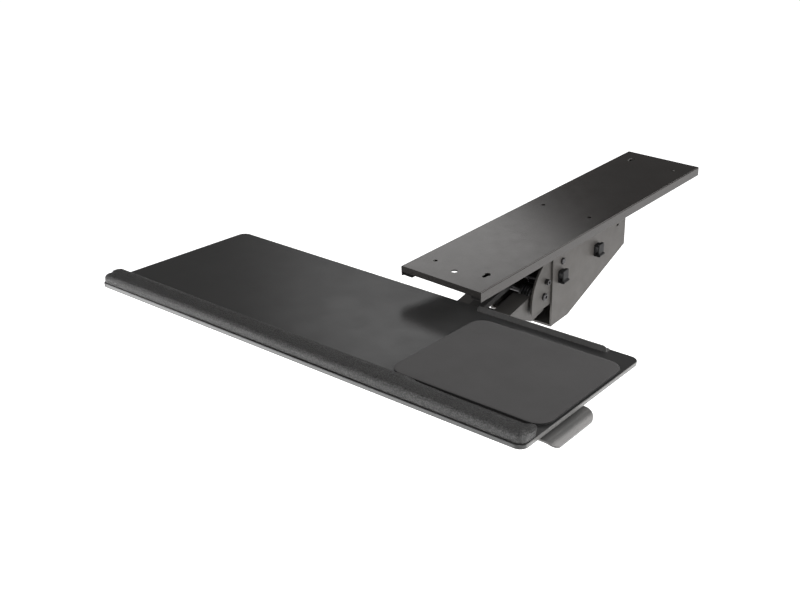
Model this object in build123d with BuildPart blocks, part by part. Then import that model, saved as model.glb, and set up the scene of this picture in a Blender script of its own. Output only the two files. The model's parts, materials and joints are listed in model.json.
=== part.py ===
"""Keyboard tray that hangs from a track under a desk.

Millimetres. +Z is up, +X is to the sitter's right, +Y runs back under the desk.
The origin lies on the track's top face, at the middle of its front end, which is
where the track meets the underside of the desk at its front edge.
"""

import os
from math import cos, floor, radians, sin, sqrt

from build123d import *

os.makedirs("parts", exist_ok=True)

# Driving sizes: track
track_width = 134.0
track_length = 588.0
track_sheet = 2.0
track_bend_radius = 1.6
side_flange = 14.0
end_flange = 8.8
screw_hole_radius = 3.0
key_head_radius = 4.6
key_slot_length = 8.0
access_hole_radius = 4.4
access_hole_inset = 29.5
hole_half_spacing = 41.0
hole_inset = 40.0
rail_width = 15.0
rail_sheet = 1.5
stop_length = 10.0

# Driving sizes: carriage
carriage_length = 150.0
carriage_width = 120.0
carriage_sheet = 3.0
carriage_corner = 12.0
glide_length = 40.0
glide_gap = 0.3
glide_inset = 3.0
swivel_ring_radius = 40.0
swivel_ring_bore = 24.0
swivel_ring_height = 5.5
swivel_bolt_radius = 6.0
swivel_bolt_proud = 1.5
swivel_head_radius = 11.0
swivel_head_height = 3.6
swivel_head_round = 1.2
swivel_washer_radius = 15.0
swivel_washer_height = 1.5
swivel_nut_flats = 19.0
swivel_nut_height = 8.0
running_gap = 0.06

# Driving sizes: turning housing
swivel_axis_y = 240.0
swivel_at_rest = 2.6
swivel_sheet = 3.0
swivel_plate_front = 76.0
swivel_plate_corner = 4.0
housing_width = 106.0
housing_sheet = 3.0
housing_front = 63.0
housing_knee = 17.0
housing_back = 150.0
housing_depth = 111.0
housing_back_depth = 58.0
housing_bend_radius = 2.4
cheek_sheet = 3.0
cheek_depth = 74.0
cheek_front = 111.0
cheek_mid_front = 106.0
cheek_mid_depth = 35.0
cheek_top_front = 72.0
cheek_tail = 22.0
cheek_corner = 6.0
fin_screw_inset = 26.0
fin_screw_depth = 16.0
fin_screw_radius = 3.0
fin_screw_head_radius = 5.0
fin_screw_head_height = 3.0
fin_screw_round = 1.8
fin_slot_length = 7.0
fin_slot_width = 3.0
fin_slot_inset = 25.0
fin_slot_depth = 16.5

# Driving sizes: lift arm, its shafts and springs
arm_length = 150.0
lift_at_rest = 8.75
arm_axis_front = 80.0
arm_axis_depth = 56.0
link_back_offset = 4.0
link_rise = 22.0
arm_side_gap = 0.5
arm_sheet = 2.5
arm_top = 12.0
arm_web_depth = 18.0
arm_web_start = 40.0
arm_web_end = 24.0
arm_lobe_depth = 29.0
arm_lobe_front = 26.0
arm_lobe_back = 6.0
arm_back_radius = 15.0
arm_back_drop = 9.0
arm_nose_radius = 9.0
arm_nose_dip = 4.0
arm_nose_slope = 39.0
arm_flange_width = 27.0
arm_flange_start = 24.0
arm_flange_end = 48.0
shaft_radius = 4.0
link_shaft_radius = 3.5
shaft_proud = 1.5
bush_radius = 7.0
bush_flange_radius = 9.0
bush_flange_width = 3.5
lower_head_radius = 5.5
lower_head_height = 3.6
lower_head_round = 2.2
upper_head_radius = 4.2
upper_head_height = 6.0
upper_head_round = 0.6
socket_flats = 4.0
socket_depth = 2.2
nut_flats = 11.0
nut_height = 5.0
spring_wire = 2.6
spring_pitch = 4.6
spring_end_gap = 0.4
spring_link_gap = 3.4
spring_bend_radius = 3.0
spring_hook_front = 22.0
spring_leg_over = 6.0
spring_gap = 0.3
sleeve_inner_x = 14.0
link_width = 22.0
link_thickness = 8.0
link_eye_radius = 7.5
link_pivot_gap = 0.3
link_side_gap = 0.3
link_clip_radius = 6.0
link_clip_width = 1.2

# Driving sizes: levelling head and tilt
head_sheet = 3.0
head_side_gap = 0.5
head_foot_radius = 12.0
head_lug_radius = 8.0
head_nose_radius = 9.5
head_web_front = 16.0
head_web_height = 34.0
tilt_axis_front = 6.0
tilt_axis_rise = 36.8
tilt_at_rest = 4.15
tilt_bolt_radius = 4.0
tilt_head_radius = 7.5
tilt_head_height = 4.0
tilt_head_round = 1.0
pin_head_radius = 5.0
pin_head_height = 1.5
ear_sheet = 3.0
ear_side_gap = 0.5
ear_radius = 10.0

# Driving sizes: tray
tray_width = 674.4
tray_depth = 260.4
tray_thickness = 5.0
tray_front_corner = 11.0
tray_back_corner = 12.0
tray_edge_bevel = 0.6
tray_offset_x = 71.6
tilt_axis_inset = 25.0
tilt_axis_drop = 18.68
bracket_side_margin = 25.0
bracket_depth = 130.0
bracket_sheet = 3.0
bracket_corner = 10.0
bracket_back = 12.0
bracket_screw_inset = 12.0
bracket_screw_head_radius = 5.0
bracket_screw_head_height = 2.6
bracket_screw_round = 1.2
bracket_screw_radius = 2.0
bracket_screw_bite = 3.6
rest_front_inset = 1.0
rest_side_inset = 0.5
rest_depth = 30.0
rest_height = 12.6
rest_lip_height = 6.8
rest_rim_height = 9.4
rest_rim_depth = 2.6
rest_back_height = 6.4
rest_front_corner = 10.0
rest_back_corner = 5.0
pad_width = 212.0
pad_depth = 184.4
pad_thickness = 3.0
pad_corner = 20.0
pad_right_inset = 2.8
pad_back_inset = 32.4
guard_length = 191.0
guard_height = 7.5
guard_sheet = 1.6
guard_foot = 8.0
guard_right = 41.0
guard_back = 10.0
guard_corner = 4.5

# Driving sizes: release paddle
paddle_length = 97.4
paddle_front_inset = 38.5
paddle_overhang = 16.2
paddle_pin_inset = 38.0
paddle_pin_drop = 8.0
paddle_pin_radius = 2.5
paddle_sheet = 2.2
paddle_tip_drop = 4.2
paddle_tip_length = 17.0
paddle_corner = 9.0
paddle_back_corner = 20.0
paddle_knuckle_radius = 5.0
paddle_ear_radius = 5.0
paddle_ear_sheet = 2.0
paddle_ear_gap = 0.4
paddle_base_width = 24.0
paddle_base_sheet = 2.0
conduit_radius = 2.5
conduit_bend_radius = 14.0
conduit_bracket_inset = 25.0

# Driving sizes: cable clips
clip_base_width = 14.0
clip_base_height = 17.0
clip_base_thickness = 2.0
clip_arm_reach = 5.0
clip_arm_sheet = 1.8
clip_pin_radius = 1.0
clip_knuckle_radius = 2.0
clip_knuckle_gap = 0.25
clip_latch_sheet = 1.6
clip_latch_lip = 3.0
front_clip_back = 21.5
rear_clip_back = 123.5
front_clip_depth = 37.2
rear_clip_depth = 33.6

# One overrun for every cut
overrun = 5.0

# Levels and places that follow from the driving sizes
half_track = track_width / 2
rail_height = side_flange - track_sheet
rail_outer = half_track - track_sheet
rail_inner = rail_outer - rail_width
rail_middle = -track_sheet - rail_height / 2
rail_slot_width = rail_width - rail_sheet
rail_slot_height = rail_height - 2 * rail_sheet
rail_slot_x = rail_inner + rail_slot_width / 2
carriage_low = rail_middle - carriage_sheet / 2
carriage_high = carriage_low + carriage_sheet
swivel_high = carriage_low - swivel_ring_height
housing_top = swivel_high - swivel_sheet
housing_bottom = housing_top - housing_depth
housing_back_bottom = housing_top - housing_back_depth
housing_rise = housing_back_bottom - housing_bottom
housing_run = housing_back + housing_knee
housing_slope = housing_rise / housing_run
half_housing = housing_width / 2
fin_inner = half_housing - housing_sheet
cheek_inner = fin_inner - cheek_sheet
half_arm = cheek_inner - arm_side_gap - bush_flange_width
arm_width = 2 * half_arm
arm_inner = half_arm - arm_sheet
pitch_cos = cos(radians(lift_at_rest))
pitch_sin = sin(radians(lift_at_rest))
arm_axis = (-arm_axis_front, housing_top - arm_axis_depth)
link_axis = (arm_axis[0] + link_back_offset, arm_axis[1] + link_rise)
head_axis = (arm_axis[0] - arm_length * pitch_cos, arm_axis[1] - arm_length * pitch_sin)
head_link_axis = (head_axis[0] + link_back_offset, head_axis[1] + link_rise)
tilt_axis = (head_axis[0] - tilt_axis_front, head_axis[1] + tilt_axis_rise)
head_inner = half_arm + head_side_gap
head_outer = head_inner + head_sheet
ear_inner = head_outer + ear_side_gap
ear_outer = ear_inner + ear_sheet

# Frames: the housing turns about the swivel, the arm pitches in it, the tray tilts
turned = Location((0, swivel_axis_y, 0), (0, 0, swivel_at_rest))
pitched = turned * Location((0, arm_axis[0], arm_axis[1]), (lift_at_rest, 0, 0))
linked = turned * Location((0, link_axis[0], link_axis[1]), (lift_at_rest, 0, 0))
tilted = turned * Location((-tray_offset_x, tilt_axis[0], tilt_axis[1]), (-tilt_at_rest, 0, 0))
trayed = tilted * Location((0, tilt_axis_inset, tilt_axis_drop))


def section(y):
    """Plane across the track at y, with X to the right and Z up."""
    return Plane.XZ.offset(-y)


def across(x, place):
    """Plane facing +X at x, with its origin on an axis at (y, z)."""
    return Plane((x, place[0], place[1]), x_dir=(0, 1, 0), z_dir=(1, 0, 0))


# Track: a folded plate with flanges all round, screwed up under the desk
with BuildPart() as track_plate:
    with BuildSketch():
        with Locations((0, track_length / 2)):
            Rectangle(track_width, track_length)
    extrude(amount=-side_flange)
    fillet(track_plate.edges().filter_by(Axis.Y).group_by(Axis.Z)[-1], track_bend_radius)
    with BuildSketch(Plane.XY.offset(-track_sheet)):
        with Locations((0, track_length / 2)):
            Rectangle(track_width - 2 * track_sheet, track_length - 2 * track_sheet)
    extrude(amount=-side_flange, mode=Mode.SUBTRACT)
    # The end flanges are shallower than the side flanges
    with BuildSketch(section(-overrun)):
        with Locations((0, -end_flange)):
            Rectangle(2 * rail_outer, side_flange, align=(Align.CENTER, Align.MAX))
    extrude(amount=-(track_length + 2 * overrun), mode=Mode.SUBTRACT)
    # Round holes, two keyholes for hanging it before the screws are tightened, a tool hole
    with BuildSketch():
        with Locations(
            (-hole_half_spacing, hole_inset),
            (hole_half_spacing, track_length - hole_inset),
            (-hole_half_spacing, track_length / 2),
            (hole_half_spacing, track_length / 2),
        ):
            Circle(screw_hole_radius)
        with Locations((0, access_hole_inset)):
            Circle(access_hole_radius)
        for side, narrow_end in ((1, hole_inset), (-1, track_length - hole_inset)):
            with Locations((side * hole_half_spacing, narrow_end + key_slot_length)):
                Circle(key_head_radius)
            with Locations((side * hole_half_spacing, narrow_end + key_slot_length / 2)):
                SlotCenterToCenter(key_slot_length, 2 * screw_hole_radius, rotation=90)
    extrude(amount=-(track_sheet + overrun), mode=Mode.SUBTRACT)
track_plate.part.label = "track_plate"
export_step(track_plate.part, "parts/track_plate.step")

# Rails: C sections against the side flanges, open towards the middle
for rail_label, side in (("left_rail", -1), ("right_rail", 1)):
    with BuildPart() as rail:
        with BuildSketch(section(track_sheet)):
            with Locations((side * (rail_inner + rail_width / 2), rail_middle)):
                Rectangle(rail_width, rail_height)
            with Locations((side * rail_slot_x, rail_middle)):
                Rectangle(rail_slot_width, rail_slot_height, mode=Mode.SUBTRACT)
        extrude(amount=-(track_length - 2 * track_sheet))
    rail.part.label = rail_label
    export_step(rail.part, f"parts/{rail_label}.step")

# Stops: rubber blocks that plug both ends of each rail
rear_stop_start = track_length - track_sheet - stop_length
for stop_label, side, stop_start in (
    ("front_left_stop", -1, track_sheet),
    ("front_right_stop", 1, track_sheet),
    ("rear_left_stop", -1, rear_stop_start),
    ("rear_right_stop", 1, rear_stop_start),
):
    with BuildPart() as stop:
        with BuildSketch(section(stop_start)):
            with Locations((side * rail_slot_x, rail_middle)):
                Rectangle(rail_slot_width, rail_slot_height)
        extrude(amount=-stop_length)
    stop.part.label = stop_label
    export_step(stop.part, f"parts/{stop_label}.step")

# Carriage plate: slides between the rails and carries the swivel
with BuildPart() as carriage_plate:
    with BuildSketch(Plane.XY.offset(carriage_low)):
        with Locations((0, swivel_axis_y)):
            RectangleRounded(carriage_width, carriage_length, carriage_corner)
            Circle(swivel_bolt_radius, mode=Mode.SUBTRACT)
    extrude(amount=carriage_sheet)
carriage_plate.part.label = "carriage_plate"
export_step(carriage_plate.part, "parts/carriage_plate.step")

# Glides: nylon shoes on the plate's four corners, loose in the rails
glide_width = rail_slot_width - 2 * glide_gap
glide_height = rail_slot_height - 2 * glide_gap
front_glide_start = swivel_axis_y - carriage_length / 2 + glide_inset
rear_glide_start = swivel_axis_y + carriage_length / 2 - glide_inset - glide_length
for glide_label, side, glide_start in (
    ("front_left_glide", -1, front_glide_start),
    ("front_right_glide", 1, front_glide_start),
    ("rear_left_glide", -1, rear_glide_start),
    ("rear_right_glide", 1, rear_glide_start),
):
    with BuildPart() as glide:
        with BuildSketch(section(glide_start)):
            with Locations((side * rail_slot_x, rail_middle)):
                Rectangle(glide_width, glide_height)
            with Locations((side * (carriage_width / 2 - glide_width / 2), rail_middle)):
                Rectangle(glide_width, carriage_sheet, mode=Mode.SUBTRACT)
        extrude(amount=-glide_length)
    glide.part.label = glide_label
    export_step(glide.part, f"parts/{glide_label}.step")

# Swivel ring: nylon washer between the carriage and the turning plate
with BuildPart() as swivel_ring:
    with BuildSketch(Plane.XY.offset(swivel_high)):
        with Locations((0, swivel_axis_y)):
            Circle(swivel_ring_radius)
            Circle(swivel_ring_bore, mode=Mode.SUBTRACT)
    extrude(amount=swivel_ring_height)
swivel_ring.part.label = "swivel_ring"
export_step(swivel_ring.part, "parts/swivel_ring.step")

# Swivel bolt, washer and nut hold the housing up against the ring
swivel_nut_high = housing_top - swivel_washer_height
swivel_nut_low = swivel_nut_high - swivel_nut_height
with BuildPart() as swivel_bolt:
    with BuildSketch(Plane.XY.offset(swivel_nut_low - swivel_bolt_proud)):
        with Locations((0, swivel_axis_y)):
            Circle(swivel_bolt_radius)
    extrude(amount=carriage_high - swivel_nut_low + swivel_bolt_proud)
    with BuildSketch(Plane.XY.offset(carriage_high)):
        with Locations((0, swivel_axis_y)):
            Circle(swivel_head_radius)
    extrude(amount=swivel_head_height)
    fillet(swivel_bolt.faces().sort_by(Axis.Z)[-1].edges(), swivel_head_round)
swivel_bolt.part.label = "swivel_bolt"
export_step(swivel_bolt.part, "parts/swivel_bolt.step")

with BuildPart() as swivel_washer:
    with BuildSketch(Plane.XY.offset(swivel_nut_high)):
        with Locations((0, swivel_axis_y)):
            Circle(swivel_washer_radius)
            Circle(swivel_bolt_radius, mode=Mode.SUBTRACT)
    extrude(amount=swivel_washer_height)
swivel_washer.part.label = "swivel_washer"
export_step(swivel_washer.part, "parts/swivel_washer.step")

with BuildPart() as swivel_nut:
    with BuildSketch(Plane.XY.offset(swivel_nut_low)):
        with Locations((0, swivel_axis_y)):
            RegularPolygon(swivel_nut_flats / 2, 6, major_radius=False)
            Circle(swivel_bolt_radius, mode=Mode.SUBTRACT)
    extrude(amount=swivel_nut_height)
swivel_nut.part.label = "swivel_nut"
export_step(swivel_nut.part, "parts/swivel_nut.step")

# Turning plate on top of the housing, drawn square and then turned to its place
with BuildPart() as swivel_plate:
    with BuildSketch(Plane.XY.offset(housing_top)):
        with Locations((0, (housing_back - swivel_plate_front) / 2)):
            RectangleRounded(housing_width, housing_back + swivel_plate_front, swivel_plate_corner)
        Circle(swivel_bolt_radius + running_gap, mode=Mode.SUBTRACT)
    extrude(amount=swivel_sheet)
swivel_plate.part = swivel_plate.part.moved(turned)
swivel_plate.part.label = "swivel_plate"
export_step(swivel_plate.part, "parts/swivel_plate.step")

# Housing: a trough with two tall fins and a bottom that slants up to the rear
slope_turn = housing_sheet * (sqrt(1 + housing_slope**2) - 1) / housing_slope
inner_knee = (-housing_knee - slope_turn, housing_bottom + housing_sheet)
inner_back = housing_back + overrun
inner_back_bottom = inner_knee[1] + (inner_back - inner_knee[0]) * housing_slope
fin_screw_place = (-housing_front + fin_screw_inset, housing_top - fin_screw_depth)
with BuildPart() as housing:
    with BuildSketch(Plane.YZ.offset(-half_housing)):
        with BuildLine():
            Polyline(
                (-housing_front, housing_top),
                (-housing_front, housing_bottom),
                (-housing_knee, housing_bottom),
                (housing_back, housing_back_bottom),
                (housing_back, housing_top),
                close=True,
            )
        make_face()
    extrude(amount=housing_width)
    low_faces = housing.faces().filter_by(lambda face: face.normal_at().Z < -sin(radians(45)))
    long_edges = low_faces.edges().filter_by(lambda edge: abs(edge.tangent_at(0).X) < sin(radians(45)))
    fillet(long_edges, housing_bend_radius)
    with BuildSketch(Plane.YZ.offset(-fin_inner)):
        with BuildLine():
            Polyline(
                (-housing_front - overrun, housing_top + overrun),
                (-housing_front - overrun, inner_knee[1]),
                inner_knee,
                (inner_back, inner_back_bottom),
                (inner_back, housing_top + overrun),
                close=True,
            )
        make_face()
    extrude(amount=2 * fin_inner, mode=Mode.SUBTRACT)
    with BuildSketch(Plane.YZ.offset(-half_housing - overrun)):
        with Locations((housing_back - fin_slot_inset, housing_top - fin_slot_depth)):
            SlotOverall(fin_slot_length, fin_slot_width)
        with Locations(fin_screw_place):
            Circle(fin_screw_radius)
    extrude(amount=housing_width + 2 * overrun, mode=Mode.SUBTRACT)
housing.part = housing.part.moved(turned)
housing.part.label = "housing"
export_step(housing.part, "parts/housing.step")

# Cheeks: plates inside the fins, whose round fronts carry the arm
for cheek_label, cheek_start in (("left_cheek", -fin_inner), ("right_cheek", cheek_inner)):
    with BuildPart() as cheek:
        with BuildSketch(Plane.YZ.offset(cheek_start)) as cheek_side:
            with BuildLine():
                Line((-cheek_tail, housing_top), (-cheek_top_front, housing_top))
                ThreePointArc(
                    (-cheek_top_front, housing_top),
                    (-cheek_mid_front, housing_top - cheek_mid_depth),
                    (-cheek_front, housing_top - cheek_depth),
                )
                Line((-cheek_front, housing_top - cheek_depth), (-cheek_tail, housing_top - cheek_depth))
                Line((-cheek_tail, housing_top - cheek_depth), (-cheek_tail, housing_top))
            make_face()
            fillet(cheek_side.vertices().group_by(Axis.Y)[0], cheek_corner)
            with Locations(arm_axis):
                Circle(shaft_radius, mode=Mode.SUBTRACT)
            with Locations(link_axis):
                Circle(link_shaft_radius, mode=Mode.SUBTRACT)
            with Locations(fin_screw_place):
                Circle(fin_screw_radius, mode=Mode.SUBTRACT)
        extrude(amount=cheek_sheet)
    cheek.part = cheek.part.moved(turned)
    cheek.part.label = cheek_label
    export_step(cheek.part, f"parts/{cheek_label}.step")

# Fin screws: one each side, from the fin into the cheek
with BuildPart() as fin_screws:
    with BuildSketch(across(cheek_inner, fin_screw_place)):
        Circle(fin_screw_radius)
    extrude(amount=half_housing - cheek_inner)
    with BuildSketch(across(half_housing, fin_screw_place)):
        Circle(fin_screw_head_radius)
    extrude(amount=fin_screw_head_height)
    fillet(fin_screws.faces().sort_by(Axis.X)[-1].edges(), fin_screw_round)
    mirror(about=Plane.YZ)
fin_screws.part = fin_screws.part.moved(turned)
fin_screws.part.label = "fin_screws"
export_step(fin_screws.part, "parts/fin_screws.step")

# Arm shaft: the lower bolt through both cheeks, with a domed head on the right
nut_side = -fin_inner - nut_height
with BuildPart() as arm_shaft:
    with BuildSketch(across(nut_side - shaft_proud, arm_axis)):
        Circle(shaft_radius)
    extrude(amount=fin_inner - nut_side + shaft_proud)
    with BuildSketch(across(fin_inner, arm_axis)):
        Circle(lower_head_radius)
    extrude(amount=lower_head_height)
    fillet(arm_shaft.faces().sort_by(Axis.X)[-1].edges(), lower_head_round)
    with BuildSketch(across(fin_inner + lower_head_height, arm_axis)):
        RegularPolygon(socket_flats / 2, 6, major_radius=False)
    extrude(amount=-socket_depth, mode=Mode.SUBTRACT)
arm_shaft.part = arm_shaft.part.moved(turned)
arm_shaft.part.label = "arm_shaft"
export_step(arm_shaft.part, "parts/arm_shaft.step")

# Link shaft: the upper bolt, with a tall socket head on the right
with BuildPart() as link_shaft:
    with BuildSketch(across(nut_side - shaft_proud, link_axis)):
        Circle(link_shaft_radius)
    extrude(amount=fin_inner - nut_side + shaft_proud)
    with BuildSketch(across(fin_inner, link_axis)):
        Circle(upper_head_radius)
    extrude(amount=upper_head_height)
    fillet(link_shaft.faces().sort_by(Axis.X)[-1].edges(), upper_head_round)
    with BuildSketch(across(fin_inner + upper_head_height, link_axis)):
        RegularPolygon(socket_flats / 2, 6, major_radius=False)
    extrude(amount=-socket_depth, mode=Mode.SUBTRACT)
link_shaft.part = link_shaft.part.moved(turned)
link_shaft.part.label = "link_shaft"
export_step(link_shaft.part, "parts/link_shaft.step")

# Nuts on the left ends of both shafts
for nut_label, nut_axis, nut_bore in (
    ("arm_shaft_nut", arm_axis, shaft_radius),
    ("link_shaft_nut", link_axis, link_shaft_radius),
):
    with BuildPart() as nut:
        with BuildSketch(across(nut_side, nut_axis)):
            RegularPolygon(nut_flats / 2, 6, major_radius=False)
            Circle(nut_bore, mode=Mode.SUBTRACT)
        extrude(amount=nut_height)
    nut.part = nut.part.moved(turned)
    nut.part.label = nut_label
    export_step(nut.part, f"parts/{nut_label}.step")

# Clips that keep the link in the middle of its shaft
with BuildPart() as link_clips:
    with BuildSketch(across(link_width / 2 + link_side_gap, link_axis)):
        Circle(link_clip_radius)
        Circle(link_shaft_radius, mode=Mode.SUBTRACT)
    extrude(amount=link_clip_width)
    mirror(about=Plane.YZ)
link_clips.part = link_clips.part.moved(turned)
link_clips.part.label = "link_clips"
export_step(link_clips.part, "parts/link_clips.step")

# Lift arm: a folded channel with lobes over the shaft and a narrow nose
arm_side_front = -arm_length + arm_web_end
arm_back_run = sqrt(arm_back_radius**2 - arm_top**2)
arm_drop_run = sqrt(arm_back_radius**2 - arm_back_drop**2)
with BuildPart() as lift_arm:
    with BuildSketch(Plane.YZ.offset(-half_arm)):
        with BuildLine():
            Polyline(
                (-arm_length, arm_nose_radius),
                (arm_side_front, arm_top - arm_nose_dip),
                (-arm_length + arm_nose_slope, arm_top),
                (arm_back_run, arm_top),
            )
            ThreePointArc((arm_back_run, arm_top), (arm_back_radius, 0), (arm_drop_run, -arm_back_drop))
            Polyline(
                (arm_drop_run, -arm_back_drop),
                (arm_lobe_back, -arm_lobe_depth),
                (-arm_lobe_front, -arm_lobe_depth),
                (-arm_web_start, -arm_web_depth),
                (arm_side_front, -arm_web_depth),
                (-arm_length, -arm_nose_radius),
            )
            ThreePointArc(
                (-arm_length, -arm_nose_radius),
                (-arm_length - arm_nose_radius, 0),
                (-arm_length, arm_nose_radius),
            )
        make_face()
    extrude(amount=arm_width)
    # Hollow it, but leave the bottom web and the two top flanges
    with BuildSketch(Plane.YZ.offset(-arm_inner)):
        with Locations((-arm_length / 2, 0)):
            Rectangle(arm_length + 4 * arm_back_radius, 4 * arm_lobe_depth)
        with Locations((-arm_web_start, -arm_web_depth + arm_sheet)):
            Rectangle(
                -arm_side_front - arm_web_start,
                arm_lobe_depth,
                align=(Align.MAX, Align.MAX),
                mode=Mode.SUBTRACT,
            )
        with Locations((-arm_flange_start, arm_top - arm_sheet)):
            Rectangle(
                arm_length - arm_flange_end - arm_flange_start,
                arm_lobe_depth,
                align=(Align.MAX, Align.MIN),
                mode=Mode.SUBTRACT,
            )
    extrude(amount=2 * arm_inner, mode=Mode.SUBTRACT)
    # The link passes between the flanges
    with BuildSketch(Plane.XY.offset(arm_top + overrun)):
        with Locations((0, -arm_length / 2)):
            Rectangle(2 * (half_arm - arm_flange_width), arm_length)
    extrude(amount=-(arm_top + overrun), mode=Mode.SUBTRACT)
    spring_radius = link_back_offset * pitch_cos + link_rise * pitch_sin + link_shaft_radius
    spring_radius = spring_radius + spring_gap + spring_wire / 2
    with BuildSketch(Plane.YZ.offset(-half_arm - overrun)):
        Circle(bush_radius)
        with Locations((-arm_length, 0)):
            Circle(shaft_radius + running_gap)
        with Locations((-spring_hook_front, -spring_radius)):
            Circle(spring_wire / 2 + spring_gap)
    extrude(amount=arm_width + 2 * overrun, mode=Mode.SUBTRACT)
lift_arm.part = lift_arm.part.moved(pitched)
lift_arm.part.label = "lift_arm"
export_step(lift_arm.part, "parts/lift_arm.step")

# Arm bushes: flanged nylon bearings in the arm's walls
for bush_label, side in (("left_arm_bush", -1), ("right_arm_bush", 1)):
    with BuildPart() as bush:
        with BuildSketch(Plane.YZ.offset(side * arm_inner)):
            Circle(bush_radius)
        extrude(amount=side * arm_sheet)
        with BuildSketch(Plane.YZ.offset(side * half_arm)):
            Circle(bush_flange_radius)
        extrude(amount=side * bush_flange_width)
        with BuildSketch(Plane.YZ.offset(side * arm_inner)):
            Circle(shaft_radius + running_gap)
        extrude(amount=side * (arm_sheet + bush_flange_width), mode=Mode.SUBTRACT)
    bush.part = bush.part.moved(pitched)
    bush.part.label = bush_label
    export_step(bush.part, f"parts/{bush_label}.step")

# Spring sleeves: nylon drums on the arm shaft that keep the springs round it
for sleeve_label, side in (("left_spring_sleeve", -1), ("right_spring_sleeve", 1)):
    with BuildPart() as sleeve:
        with BuildSketch(Plane.YZ.offset(side * sleeve_inner_x)):
            Circle(spring_radius - spring_wire / 2 - spring_gap)
            Circle(shaft_radius + running_gap, mode=Mode.SUBTRACT)
        extrude(amount=side * (arm_inner - sleeve_inner_x))
    sleeve.part = sleeve.part.moved(pitched)
    sleeve.part.label = sleeve_label
    export_step(sleeve.part, f"parts/{sleeve_label}.step")

# Lift springs: wound wire, one end hooked into the arm's wall, the other behind the link shaft
# The coils fill the room between the arm's wall and the link's clip, as many as fit
spring_outer_x = arm_inner - spring_bend_radius - spring_wire / 2 - spring_end_gap
spring_least_x = link_width / 2 + link_side_gap + link_clip_width + spring_link_gap + spring_wire / 2
spring_turns = floor((spring_outer_x - spring_least_x) / spring_pitch)
spring_inner_x = spring_outer_x - spring_turns * spring_pitch
spring_leg_top = link_rise * pitch_cos - link_back_offset * pitch_sin + spring_leg_over
quarter_share = sqrt(2) / 2
half_turn_radius = sqrt(spring_radius**2 + (spring_pitch / 4) ** 2)


def least_gap(wire, thickness, samples, skip):
    """Smallest free gap between stretches of a bent wire that aren't neighbours along it."""
    points = [wire.position_at(step / samples) for step in range(samples + 1)]
    return min(
        (points[i] - points[j]).length - thickness
        for i in range(len(points))
        for j in range(i + skip, len(points))
    )


for spring_label, side in (("left_lift_spring", -1), ("right_lift_spring", 1)):
    with BuildPart() as spring:
        with BuildLine() as spring_path:
            Line(
                (side * half_arm, -spring_hook_front, -spring_radius),
                (side * (spring_outer_x + spring_bend_radius), -spring_hook_front, -spring_radius),
            )
            RadiusArc(
                (side * (spring_outer_x + spring_bend_radius), -spring_hook_front, -spring_radius),
                (side * spring_outer_x, -spring_hook_front + spring_bend_radius, -spring_radius),
                side * spring_bend_radius,
            )
            Line(
                (side * spring_outer_x, -spring_hook_front + spring_bend_radius, -spring_radius),
                (side * spring_outer_x, 0, -spring_radius),
            )
            for turn in range(spring_turns):
                turn_x = spring_outer_x - turn * spring_pitch
                ThreePointArc(
                    (side * turn_x, 0, -spring_radius),
                    (side * (turn_x - spring_pitch / 4), half_turn_radius, 0),
                    (side * (turn_x - spring_pitch / 2), 0, spring_radius),
                )
                ThreePointArc(
                    (side * (turn_x - spring_pitch / 2), 0, spring_radius),
                    (side * (turn_x - spring_pitch * 3 / 4), -half_turn_radius, 0),
                    (side * (turn_x - spring_pitch), 0, -spring_radius),
                )
            ThreePointArc(
                (side * spring_inner_x, 0, -spring_radius),
                (side * spring_inner_x, spring_radius * quarter_share, -spring_radius * quarter_share),
                (side * spring_inner_x, spring_radius, 0),
            )
            Line(
                (side * spring_inner_x, spring_radius, 0),
                (side * spring_inner_x, spring_radius, spring_leg_top),
            )
        with BuildSketch(Plane((side * half_arm, -spring_hook_front, -spring_radius), z_dir=(-side, 0, 0))):
            Circle(spring_wire / 2)
        sweep(path=spring_path.wires()[0])
    print(spring_label, "least gap", round(least_gap(spring_path.wires()[0], spring_wire, 360, 30), 2))
    spring.part = spring.part.moved(pitched)
    spring.part.label = spring_label
    export_step(spring.part, f"parts/{spring_label}.step")

# Level link: a bar above the arm that keeps the head upright
with BuildPart() as level_link:
    with BuildSketch(Plane.YZ.offset(-link_width / 2)):
        with Locations((0, 0), (-arm_length, 0)):
            Circle(link_eye_radius)
        with Locations((-arm_length / 2, 0)):
            Rectangle(arm_length, link_thickness)
        Circle(link_shaft_radius + running_gap, mode=Mode.SUBTRACT)
        with Locations((-arm_length, 0)):
            Circle(link_shaft_radius + link_pivot_gap, mode=Mode.SUBTRACT)
    extrude(amount=link_width)
level_link.part = level_link.part.moved(linked)
level_link.part.label = "level_link"
export_step(level_link.part, "parts/level_link.step")

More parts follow.
